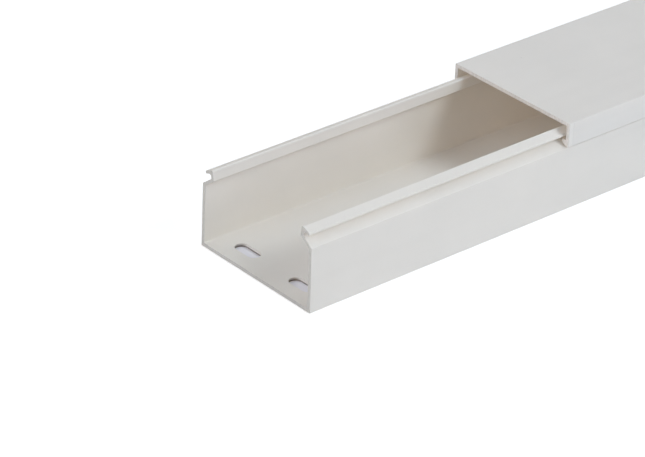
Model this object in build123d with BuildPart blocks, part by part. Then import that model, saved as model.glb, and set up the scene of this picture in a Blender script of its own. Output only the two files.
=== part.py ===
from build123d import *
from math import cos, radians, sin, tan
import os

# Cable trunking 100 x 60: an open base channel and a clip-on lid slid part of the way
# back. Units are millimetres. The length runs along Y, +Z is up, and the origin is the
# middle of the base's underside. Half sections are drawn on +X and mirrored.

# Both pieces
LENGTH = 2000.0          # stock length of the base and of the lid
WIDTH = 100.0            # across the base at floor level
HEIGHT = 60.0            # underside of the base to the face of the lid
LID_SETBACK = 201.0      # front end of the base to the front end of the lid

# Base channel
WALL = 2.5               # floor and side walls
TOE_IN = 0.5             # lean of a side wall between the floor and its shoulder
SHOULDER_DEPTH = 17.5    # face of the lid down to the outer edge of a shoulder
SHOULDER_ANGLE = 37.0    # rise of a shoulder towards the lip, degrees
HEEL_RADIUS = 0.4        # outer corner under a side wall
FLOOR_RADIUS = 0.8       # inner corner between floor and side wall
SHOULDER_RADIUS = 0.3    # outer edge of a shoulder

# Lip along the top of each side wall: a stem that curls outwards into a hook
LIP_SETBACK = 8.2        # side of the base at floor level to the outer foot of a stem
LIP_WALL = 2.0           # shoulder, stem and hook
LIP_DEPTH = 5.7          # face of the lid down to the crest of a lip, before it is rounded
STEM_LEAN = 8.0          # lean of a stem outwards, degrees
HOOK_REACH = 5.4         # tip of a hook beyond the outer foot of its stem
HOOK_DROP = 22.0         # fall of a hook towards its tip, degrees
CURL_RADIUS = 1.5        # hollow side of the curl
CREST_RADIUS = 1.0       # inner edge along the top of a lip

# Fixing slots in the floor, in pairs across the base
SLOT_LENGTH = 20.0
SLOT_WIDTH = 9.0
SLOT_SPACING = 50.0      # between the two slots of a pair
SLOT_PITCH = 300.0       # from pair to pair along the base
FIRST_SLOT = 15.0        # front end of the base to the first pair

# Lid
LID_WALL = 2.3           # face and legs
LID_OVERHANG = 0.9       # leg beyond the side of the base at floor level
FOOT_RISE = 2.1          # rise of a foot from its outer corner to its barb
FOOT_CLEARANCE = 0.3     # barb to the shoulder it rides over, square to the shoulder
BARB_HEIGHT = 2.3        # barb at its tip
BARB_CATCH = 1.7         # barb inwards past the tip of the hook above it
LID_RADIUS = 0.4         # outer corners between face and legs
FOOT_RADIUS = 0.2        # edges of a foot and its barb


def meeting(p, p_angle, q, q_angle):
    """Where a line through p meets a line through q, their angles in degrees from +X."""
    px, pz = cos(radians(p_angle)), sin(radians(p_angle))
    qx, qz = cos(radians(q_angle)), sin(radians(q_angle))
    along = ((q[0] - p[0]) * qz - (q[1] - p[1]) * qx) / (px * qz - pz * qx)
    return (p[0] + along * px, p[1] + along * pz)


# The base's half section: floor and wall, then the shoulder, stem and hook, which keep
# one wall thickness as they turn.
shoulder_slope = tan(radians(SHOULDER_ANGLE))
shoulder_height = LIP_WALL / cos(radians(SHOULDER_ANGLE))
hook_height = LIP_WALL / cos(radians(HOOK_DROP))
stem_angle = 90 - STEM_LEAN

side_x = WIDTH / 2
shoulder_x = side_x - TOE_IN
shoulder_z = HEIGHT - SHOULDER_DEPTH
stem_x = side_x - LIP_SETBACK
stem_z = shoulder_z + (shoulder_x - stem_x) * shoulder_slope
stem_in_x = stem_x - LIP_WALL / cos(radians(STEM_LEAN))
hook_x = stem_x + HOOK_REACH
lip_z = HEIGHT - LIP_DEPTH

heel = (side_x, 0)
shoulder = (shoulder_x, shoulder_z)
shoulder_under = (shoulder_x, shoulder_z - shoulder_height)
stem_foot = (stem_x, stem_z)
stem_back = (stem_in_x, stem_z)
curl_outside = meeting(stem_back, stem_angle, (0, lip_z), 0)
tip_above = meeting(curl_outside, -HOOK_DROP, (hook_x, 0), 90)
tip_below = (hook_x, tip_above[1] - hook_height)
curl_inside = meeting(tip_below, -HOOK_DROP, stem_foot, stem_angle)
stem_inside = meeting(shoulder_under, -SHOULDER_ANGLE, stem_back, stem_angle)
wall_inside = meeting(shoulder_under, -SHOULDER_ANGLE, (shoulder_x - WALL, 0), 90)
floor_corner = (side_x - WALL, WALL)

# The lid's half section: face, leg, and the barb that sits between a shoulder and the
# hook above it, so the lid can't lift off.
lid_x = side_x + LID_OVERHANG
leg_in_x = lid_x - LID_WALL
barb_x = hook_x - BARB_CATCH
shoulder_gap = FOOT_CLEARANCE / cos(radians(SHOULDER_ANGLE))
barb_z = shoulder_z + (shoulder_x - barb_x) * shoulder_slope + shoulder_gap

lid_corner = (lid_x, HEIGHT)
foot = (lid_x, barb_z - FOOT_RISE)
barb_foot = (barb_x, barb_z)
barb_tip = (barb_x, barb_z + BARB_HEIGHT)
barb_root = (leg_in_x, barb_z + BARB_HEIGHT)
lid_inside = (leg_in_x, HEIGHT - LID_WALL)


def corners(sketch, *points):
    """The corners of a mirrored section at the given points and at their mirror images."""
    return [
        v
        for v in sketch.vertices()
        if any(abs(abs(v.X) - x) < 0.01 and abs(v.Y - z) < 0.01 for x, z in points)
    ]


# Each section stands on the front end of its piece and is drawn back along +Y.
base_front = Plane.XZ.offset(LENGTH / 2)
lid_front = Plane.XZ.offset(LENGTH / 2 - LID_SETBACK)

# As many pairs of slots as the length holds.
slot_rows = int((LENGTH - FIRST_SLOT - SLOT_WIDTH) // SLOT_PITCH) + 1
first_row_y = FIRST_SLOT - LENGTH / 2
middle_row_y = first_row_y + (slot_rows - 1) * SLOT_PITCH / 2

with BuildPart() as base_channel:
    with BuildSketch(base_front) as base_section:
        with BuildLine():
            Polyline((0, 0), heel, shoulder, stem_foot, curl_inside, tip_below, tip_above)
            Polyline(tip_above, curl_outside, stem_inside, wall_inside, floor_corner, (0, WALL))
            Line((0, WALL), (0, 0))
        make_face()
        mirror(about=Plane.YZ)
        fillet(corners(base_section, curl_inside), CURL_RADIUS)
        fillet(corners(base_section, curl_outside), CREST_RADIUS)
        fillet(corners(base_section, tip_below, tip_above), 0.42 * LIP_WALL)
        fillet(corners(base_section, shoulder), SHOULDER_RADIUS)
        fillet(corners(base_section, heel), HEEL_RADIUS)
        fillet(corners(base_section, floor_corner), FLOOR_RADIUS)
    extrude(amount=-LENGTH)
    with BuildSketch(Plane.XY):
        with Locations((0, middle_row_y)):
            with GridLocations(SLOT_SPACING, SLOT_PITCH, 2, slot_rows):
                SlotOverall(SLOT_LENGTH, SLOT_WIDTH)
    extrude(amount=WALL, mode=Mode.SUBTRACT)

with BuildPart() as lid:
    with BuildSketch(lid_front) as lid_section:
        with BuildLine():
            Polyline((0, HEIGHT), lid_corner, foot, barb_foot, barb_tip, barb_root, lid_inside)
            Polyline(lid_inside, (0, HEIGHT - LID_WALL), (0, HEIGHT))
        make_face()
        mirror(about=Plane.YZ)
        fillet(corners(lid_section, lid_corner), LID_RADIUS)
        fillet(corners(lid_section, foot, barb_foot, barb_tip), FOOT_RADIUS)
    extrude(amount=-LENGTH)

base_channel.part.label = "base_channel"
lid.part.label = "lid"

os.makedirs("parts", exist_ok=True)
export_step(base_channel.part, "parts/base_channel.step")
export_step(lid.part, "parts/lid.step")
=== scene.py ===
import math

import bpy
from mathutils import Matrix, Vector


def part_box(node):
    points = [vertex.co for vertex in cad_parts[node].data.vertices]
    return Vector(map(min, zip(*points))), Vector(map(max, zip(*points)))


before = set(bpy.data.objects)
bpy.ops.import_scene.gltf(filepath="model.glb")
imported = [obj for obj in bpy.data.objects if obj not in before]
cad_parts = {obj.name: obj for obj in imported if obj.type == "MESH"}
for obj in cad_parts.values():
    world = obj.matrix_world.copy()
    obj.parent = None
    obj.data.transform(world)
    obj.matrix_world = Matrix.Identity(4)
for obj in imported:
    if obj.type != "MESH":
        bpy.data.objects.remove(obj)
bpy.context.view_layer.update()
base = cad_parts["base_channel"]
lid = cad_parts["lid"]
base_low, base_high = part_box("base_channel")
lid_low, lid_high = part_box("lid")

# Cable trunking: an open base channel and the lid clipped over it, both of rigid PVC.
# Lengths are in metres, angles in degrees.

# Colours of the plastic by daylight, as extruded and where it is sawn
BASE_COLOUR = (0.87, 0.853, 0.822)
LID_COLOUR = (0.87, 0.857, 0.836)
BASE_SAWN = (0.70, 0.695, 0.675)
LID_SAWN = (0.88, 0.855, 0.832)
SPECK_COLOUR = (0.20, 0.18, 0.16)
# Painted shade, near black, for the foot of the slots' walls
PAINTED_SHADE_COLOUR = (0.05, 0.048, 0.05)

# Tones, against the colour of the plastic or of its sawn faces
LIGHT_PATCH = 1.03
DARK_BAND = 0.90
BAND_SHARE = 0.10        # how much of the darker tone a band takes at most
CUT_BAND = 1.06
CUT_LINE = 0.62
SAWN_TONES = (0.88, 1.06)

# Light that comes through the walls, warmed on its way, and its share
GLOW = (1.0, 0.84, 0.64)
SEE_THROUGH = 0.12

# Marks in the plastic, as many as this to a metre
LINES = 900.0            # fine lines that the extruder leaves along the length
BANDS = 120.0            # broader bands among them
CLOUDS = 26.0            # patches of tone and of gloss
GRAIN = 1400.0           # grain of the surface
SPECK_CELLS = 70.0       # places for a speck
STROKES = 2600.0         # strokes of the saw over a cut
STRETCH = 0.02           # rate of the lines and bands along the length
STROKE_STRETCH = 0.12    # rate of the strokes along themselves
STROKE_SLANT = 24.0      # lean of the strokes

# Where the noise of each mark begins to show, and where it shows in full
PATCH_NOISE = (0.35, 0.68)
BAND_NOISE = (0.45, 0.75)
STROKE_NOISE = (0.40, 0.62)
GLOSS_NOISE = (0.3, 0.7)

# Surface
ROUGHNESS = (0.56, 0.66)     # as extruded, from patch to patch
SAWN_ROUGHER = 0.2
PLASTIC_IOR = 1.53
BUMP_STRENGTH = 0.25
BUMP_HEIGHT = 0.00005
LINE_RELIEF = 0.5            # against the bump's height
GRAIN_RELIEF = 0.25
STROKE_RELIEF = 4.0

# Faces that look one way, by the part of their normal along an axis: from not at all to in
# full
OUTWARD = (0.9, 0.98)
ENDWAYS = (0.85, 0.95)
TOWARDS_X = (0.1, 0.7)
LEVEL = (0.4, 0.6)

# Specks: their fading edge, in cells, the cells that have none, and how dark they are
SPECK_EDGE = (0.012, 0.030)
SPECKLESS = 0.90
SPECK_STRENGTH = 0.55

# Sawn ends: how far the faces of an end reach back from it
END_DEPTH = (0.0004, 0.0008)

# Painted shade along the foot of a slot's wall, standing in for the shadow under the base:
# the heights over which it fades, the same at the slot's end that faces +X, and the half width
# of the floor that has slots
FOOT = (0.0004, 0.0010)
DEEP_FOOT = (0.0006, 0.0024)
SLOTTED = (0.042, 0.044)
PAINTED_SHADE_STRENGTH = 0.94

# Paler band that the saw left on the legs of the lid, and the line at either side of it, all
# measured back from the front end
BAND_END = (0.0034, 0.0040)
FIRST_LINE = (0.0002, 0.0007)
LAST_LINE = 0.0038
LAST_LINE_HALF = 0.0004
LAST_LINE_SHARE = 0.4
BAND_STRENGTH = 0.5

# Floor, a little below the base so that their faces don't meet
FLOOR_HALF = 12.0
FLOOR_GAP = 0.0002
PAPER = (0.90, 0.90, 0.90)
# Bluish painted shade tint for the floor under the base, in place of the cool tone of its
# shade
PAPER_PAINTED_SHADE_TINT = (0.905, 0.885, 0.935)
OUTLINE = (0.004, 0.001)     # how far inside the base's sides the floor under it ends
NEAR_WHITE = 0.52            # white that the floor adds to the picture beside the object
FAR_WHITE = 1.0
FADE_ACROSS = (0.5, 1.6)     # from the one to the other, across and along
FADE_ALONG = (1.4, 2.5)

# World
SKY = (1.0, 0.995, 0.985)
SKY_STRENGTH = 0.03

# Soft boxes around a place near the front end of the base: where each stands, in degrees
# round from +X and up, its power, its size and its colour
LAMP_AIM = Vector((0.0, base_low.y + 0.2, 0.03))
LAMP_DISTANCE = 5.0
LAMPS = (
    ("front_low", 282, 22, 75.4, 2.7, (0.973, 0.969, 1.0)),
    ("front_high", 270, 50, 40.5, 2.7, (0.874, 0.939, 1.0)),
    ("left", 180, 45, 41.2, 2.7, (1.0, 0.98, 0.996)),
    ("back_high", 90, 70, 44.2, 2.7, (0.85, 0.927, 1.0)),
    ("right", 25, 40, 86.1, 1.8, (0.897, 0.973, 1.0)),
    ("right_low", 30, 15, 50.0, 1.8, (0.82, 0.862, 1.0)),
)

# Camera that took the photograph, as fitted to its edges. It is placed from the front end.
PHOTO_WIDTH = 645
CAMERA_PLACE = (1.275684, base_low.y - 1.071188, 0.975212)
CAMERA_TURN = (60.5377, -1.7944, 49.6594)
CAMERA_LENS = 184.381        # millimetres, for a sensor of 36
CAMERA_SENSOR = 36.0


def clear(tree):
    for node in list(tree.nodes):
        tree.nodes.remove(node)
    return tree


def new_material(name):
    material = bpy.data.materials.new(name)
    material.use_nodes = True
    return material, clear(material.node_tree)


def feed(tree, socket, value):
    """Links a socket to another node's output, or sets it to a number or a colour."""
    if isinstance(value, bpy.types.NodeSocket):
        tree.links.new(value, socket)
    elif socket.type == "RGBA":
        socket.default_value = (*value, 1)
    else:
        socket.default_value = value


def put(tree, kind, inputs=None, **settings):
    """Adds a node. inputs are by name, or by number where names repeat."""
    node = tree.nodes.new(kind)
    for key, value in settings.items():
        setattr(node, key, value)
    for key, value in (inputs or {}).items():
        feed(tree, node.inputs[key], value)
    return node


def noise(tree, vector, scale, detail, roughness=0.5):
    inputs = {"Vector": vector, "Scale": scale, "Detail": detail, "Roughness": roughness}
    return put(tree, "ShaderNodeTexNoise", inputs).outputs["Fac"]


def ramp(tree, value, low, high, out_low=0.0, out_high=1.0):
    """Takes low to out_low and high to out_high, and stays there beyond them."""
    inputs = {
        "Value": value,
        "From Min": low,
        "From Max": high,
        "To Min": out_low,
        "To Max": out_high,
    }
    return put(tree, "ShaderNodeMapRange", inputs, clamp=True).outputs["Result"]


def fade(tree, value, low, high):
    """1 up to low, 0 from high on."""
    return ramp(tree, value, low, high, 1.0, 0.0)


def maths(tree, operation, *values):
    return put(tree, "ShaderNodeMath", dict(enumerate(values)), operation=operation).outputs[0]


def absolute(tree, value):
    return maths(tree, "ABSOLUTE", value)


def either(tree, a, b):
    return maths(tree, "MAXIMUM", a, b)


def product(tree, *values):
    result = values[0]
    for value in values[1:]:
        result = maths(tree, "MULTIPLY", result, value)
    return result


def mix_colour(tree, factor, a, b):
    """a where the factor is 0, b where it is 1."""
    node = put(tree, "ShaderNodeMix", {"Factor": factor}, data_type="RGBA")
    colours = [socket for socket in node.inputs if socket.type == "RGBA"]
    feed(tree, colours[0], a)
    feed(tree, colours[1], b)
    return [socket for socket in node.outputs if socket.type == "RGBA"][0]


def mix_shader(tree, factor, a, b):
    return put(tree, "ShaderNodeMixShader", {0: factor, 1: a, 2: b}).outputs[0]


def split(tree, vector):
    return put(tree, "ShaderNodeSeparateXYZ", {"Vector": vector}).outputs


def mapped(tree, vector, **inputs):
    """The vector after a Mapping node with the given Location, Rotation or Scale."""
    return put(tree, "ShaderNodeMapping", {"Vector": vector, **inputs}).outputs["Vector"]


def scaled(colour, factor):
    return tuple(part * factor for part in colour)


def background_rays(tree):
    """1 on the rays that show the white background: the camera's, and those that come off
    a gloss or through glass."""
    path = put(tree, "ShaderNodeLightPath").outputs
    gloss = either(tree, path["Is Glossy Ray"], path["Is Transmission Ray"])
    return either(tree, path["Is Camera Ray"], gloss)


def speckled(tree, vector):
    """Rare dark inclusions of a few tenths of a millimetre, in one cell of ten."""
    inputs = {"Vector": vector, "Scale": SPECK_CELLS}
    cells = put(tree, "ShaderNodeTexVoronoi", inputs, feature="F1")
    near = fade(tree, cells.outputs["Distance"], *SPECK_EDGE)
    lottery = put(tree, "ShaderNodeSeparateColor", {"Color": cells.outputs["Color"]})
    chosen = maths(tree, "GREATER_THAN", lottery.outputs[0], SPECKLESS)
    return product(tree, near, chosen, SPECK_STRENGTH)


def slot_painted_shade(tree, x, z, facing_x, facing_z, inside):
    """Painted shade: a dark line along the foot of each slot's wall, deeper at the end facing
    +X.
    """
    upright = fade(tree, absolute(tree, facing_z), *LEVEL)
    low = fade(tree, z, *FOOT)
    deep = product(tree, fade(tree, z, *DEEP_FOOT), ramp(tree, facing_x, *TOWARDS_X))
    slotted = fade(tree, absolute(tree, x), *SLOTTED)
    return product(tree, either(tree, low, deep), upright, slotted, inside)


def cut_band(tree, y, facing_x, front):
    """Paler band on the outside of the legs at the front end, and the fine line at either
    side of it."""
    outer = ramp(tree, absolute(tree, facing_x), *OUTWARD)
    along = maths(tree, "SUBTRACT", y, front)
    band = product(tree, outer, fade(tree, along, *BAND_END))
    first = fade(tree, along, *FIRST_LINE)
    from_last = absolute(tree, maths(tree, "SUBTRACT", along, LAST_LINE))
    last = product(tree, fade(tree, from_last, 0.0, LAST_LINE_HALF), LAST_LINE_SHARE)
    return band, product(tree, outer, either(tree, first, last))


def pvc(name, colour, seed, front, back, sawn_colour, slots=False, banded=False):
    """Rigid PVC as it comes from the extruder: fine lines along the length, faint cloudy
    tone, a few specks, and sawn ends that are rougher and differ in tone. front and back
    are where the piece ends."""
    material, tree = new_material(name)
    place = put(tree, "ShaderNodeTexCoord").outputs["Object"]
    x, y, z = split(tree, place)
    normal = put(tree, "ShaderNodeNewGeometry").outputs["True Normal"]
    facing_x, facing_y, facing_z = split(tree, normal)

    # The seed gives each piece its own part of the patterns.
    stretched = mapped(
        tree,
        place,
        Location=(seed, seed * 0.7, seed * 1.3),
        Scale=(1.0, STRETCH, 1.0),
    )
    shifted = mapped(tree, place, Location=(seed * 2.1, seed, seed * 0.4))
    lines = noise(tree, stretched, LINES, 3.0)
    bands = noise(tree, stretched, BANDS, 2.0)
    cloud = noise(tree, shifted, CLOUDS, 4.0)
    grain = noise(tree, shifted, GRAIN, 2.0)
    patch = ramp(tree, cloud, *PATCH_NOISE)
    tone = mix_colour(tree, patch, colour, scaled(colour, LIGHT_PATCH))
    banding = ramp(tree, bands, *BAND_NOISE, 0.0, BAND_SHARE)
    tone = mix_colour(tree, banding, tone, scaled(colour, DARK_BAND))
    tone = mix_colour(tree, speckled(tree, shifted), tone, SPECK_COLOUR)

    # Sawn faces look along the length, at either end.
    middle, half = (front + back) / 2, (back - front) / 2
    from_middle = absolute(tree, maths(tree, "SUBTRACT", y, middle))
    at_end = ramp(tree, from_middle, half - END_DEPTH[1], half - END_DEPTH[0])
    sawn = product(tree, ramp(tree, absolute(tree, facing_y), *ENDWAYS), at_end)
    cut = mapped(
        tree,
        place,
        Rotation=(0.0, math.radians(STROKE_SLANT), 0.0),
        Scale=(1.0, 1.0, STROKE_STRETCH),
    )
    strokes = noise(tree, cut, STROKES, 3.0, 0.7)
    dark, light = (scaled(sawn_colour, factor) for factor in SAWN_TONES)
    sawn_tone = mix_colour(tree, ramp(tree, strokes, *STROKE_NOISE), dark, light)
    tone = mix_colour(tree, sawn, tone, sawn_tone)
    if slots:
        # Painted shade: a dark line at the foot of each slot's wall, in place of the shadow
        # under the base.
        inside = maths(tree, "SUBTRACT", 1.0, at_end)
        painted_shade = slot_painted_shade(tree, x, z, facing_x, facing_z, inside)
        tone = mix_colour(tree, product(tree, painted_shade, PAINTED_SHADE_STRENGTH), tone, PAINTED_SHADE_COLOUR)
    if banded:
        band, line = cut_band(tree, y, facing_x, front)
        for part, factor in ((band, CUT_BAND), (line, CUT_LINE)):
            strength = product(tree, part, BAND_STRENGTH)
            tone = mix_colour(tree, strength, tone, scaled(colour, factor))

    smooth = maths(
        tree, "ADD", product(tree, lines, LINE_RELIEF), product(tree, grain, GRAIN_RELIEF)
    )
    height = maths(
        tree,
        "ADD",
        product(tree, smooth, maths(tree, "SUBTRACT", 1.0, sawn)),
        product(tree, strokes, STROKE_RELIEF, sawn),
    )
    bump = put(
        tree,
        "ShaderNodeBump",
        {"Strength": BUMP_STRENGTH, "Distance": BUMP_HEIGHT, "Height": height},
    )
    extruded = ramp(tree, cloud, *GLOSS_NOISE, *ROUGHNESS)
    shader = put(
        tree,
        "ShaderNodeBsdfPrincipled",
        {
            "Base Color": tone,
            "Roughness": maths(tree, "ADD", extruded, product(tree, sawn, SAWN_ROUGHER)),
            "IOR": PLASTIC_IOR,
            "Normal": bump.outputs["Normal"],
        },
    )
    through = put(tree, "ShaderNodeBsdfTranslucent", {"Color": GLOW})
    body = mix_shader(tree, SEE_THROUGH, shader.outputs[0], through.outputs[0])
    put(tree, "ShaderNodeOutputMaterial", {"Surface": body})
    return material


def dress(node, material):
    node.data.materials.clear()
    node.data.materials.append(material)


def paper():
    """Takes the object's shadow, and shows white to the camera. It has no white of its own
    under the base, where only the slots show it, and a bluish painted shade tint there."""
    material, tree = new_material("pale_floor")
    place = put(tree, "ShaderNodeTexCoord").outputs["Object"]
    x, y, _ = split(tree, place)
    across, along = absolute(tree, x), absolute(tree, y)
    outside = either(
        tree,
        ramp(tree, across, base_high.x - OUTLINE[0], base_high.x - OUTLINE[1]),
        ramp(tree, along, base_high.y - OUTLINE[0], base_high.y - OUTLINE[1]),
    )
    # Painted shade tint under the base, plain paper beside it
    colour = mix_colour(tree, outside, PAPER_PAINTED_SHADE_TINT, PAPER)
    matt = put(tree, "ShaderNodeBsdfDiffuse", {"Color": colour}).outputs[0]
    far = either(tree, ramp(tree, across, *FADE_ACROSS), ramp(tree, along, *FADE_ALONG))
    strength = ramp(tree, far, 0.0, 1.0, NEAR_WHITE, FAR_WHITE)
    white = put(tree, "ShaderNodeEmission", {"Color": (1, 1, 1), "Strength": strength})
    both = put(tree, "ShaderNodeAddShader", {0: matt, 1: white.outputs[0]}).outputs[0]
    shown = product(tree, background_rays(tree), outside)
    put(tree, "ShaderNodeOutputMaterial", {"Surface": mix_shader(tree, shown, matt, both)})
    return material


def lamp(name, place, target, size, power, colour):
    data = bpy.data.lights.new(name, "AREA")
    data.shape = "RECTANGLE"
    data.size = size
    data.size_y = size
    data.energy = power
    data.color = colour
    thing = bpy.data.objects.new(name, data)
    thing.location = place
    thing.rotation_euler = (target - place).to_track_quat("-Z", "Y").to_euler()
    scene.collection.objects.link(thing)


scene = bpy.context.scene
base_ends = (base_low.y, base_high.y)
lid_ends = (lid_low.y, lid_high.y)
dress(base, pvc("pvc_base", BASE_COLOUR, 0.31, *base_ends, BASE_SAWN, slots=True))
dress(lid, pvc("pvc_lid", LID_COLOUR, 0.77, *lid_ends, LID_SAWN, banded=True))

# Floor
floor_mesh = bpy.data.meshes.new("floor")
corners = [(-1, -1), (1, -1), (1, 1), (-1, 1)]
floor_mesh.from_pydata(
    [(x * FLOOR_HALF, y * FLOOR_HALF, 0) for x, y in corners], [], [(0, 1, 2, 3)]
)
floor_mesh.materials.append(paper())
floor = bpy.data.objects.new("floor", floor_mesh)
floor.location = (0, 0, -FLOOR_GAP)
scene.collection.objects.link(floor)

# World: plain and pale, white where it is seen or mirrored.
world = bpy.data.worlds.new("studio")
scene.world = world
world.use_nodes = True
tree = clear(world.node_tree)
soft = put(tree, "ShaderNodeBackground", {"Color": SKY, "Strength": SKY_STRENGTH})
plain = put(tree, "ShaderNodeBackground", {"Color": (1, 1, 1), "Strength": 1.0})
surface = mix_shader(tree, background_rays(tree), soft.outputs[0], plain.outputs[0])
put(tree, "ShaderNodeOutputWorld", {"Surface": surface})

for name, around, up, power, size, colour in LAMPS:
    around, up = math.radians(around), math.radians(up)
    flat = math.cos(up)
    away = Vector((math.cos(around) * flat, math.sin(around) * flat, math.sin(up)))
    lamp(name, LAMP_AIM + LAMP_DISTANCE * away, LAMP_AIM, size, power, colour)

# The photograph's centre is half a pixel off the lens.
camera_data = bpy.data.cameras.new("camera")
camera_data.lens = CAMERA_LENS
camera_data.sensor_width = CAMERA_SENSOR
camera_data.shift_x = -0.5 / PHOTO_WIDTH
camera_data.shift_y = 0.5 / PHOTO_WIDTH
camera_data.clip_start = 0.05
camera_data.clip_end = 60.0
camera = bpy.data.objects.new("camera", camera_data)
camera.location = CAMERA_PLACE
camera.rotation_euler = [math.radians(angle) for angle in CAMERA_TURN]
scene.collection.objects.link(camera)
bpy.context.scene.camera = camera

bpy.context.scene.view_settings.view_transform = "Standard"
# Light goes back and forth many times between the pale walls.
scene.cycles.max_bounces = 16
scene.cycles.diffuse_bounces = 12
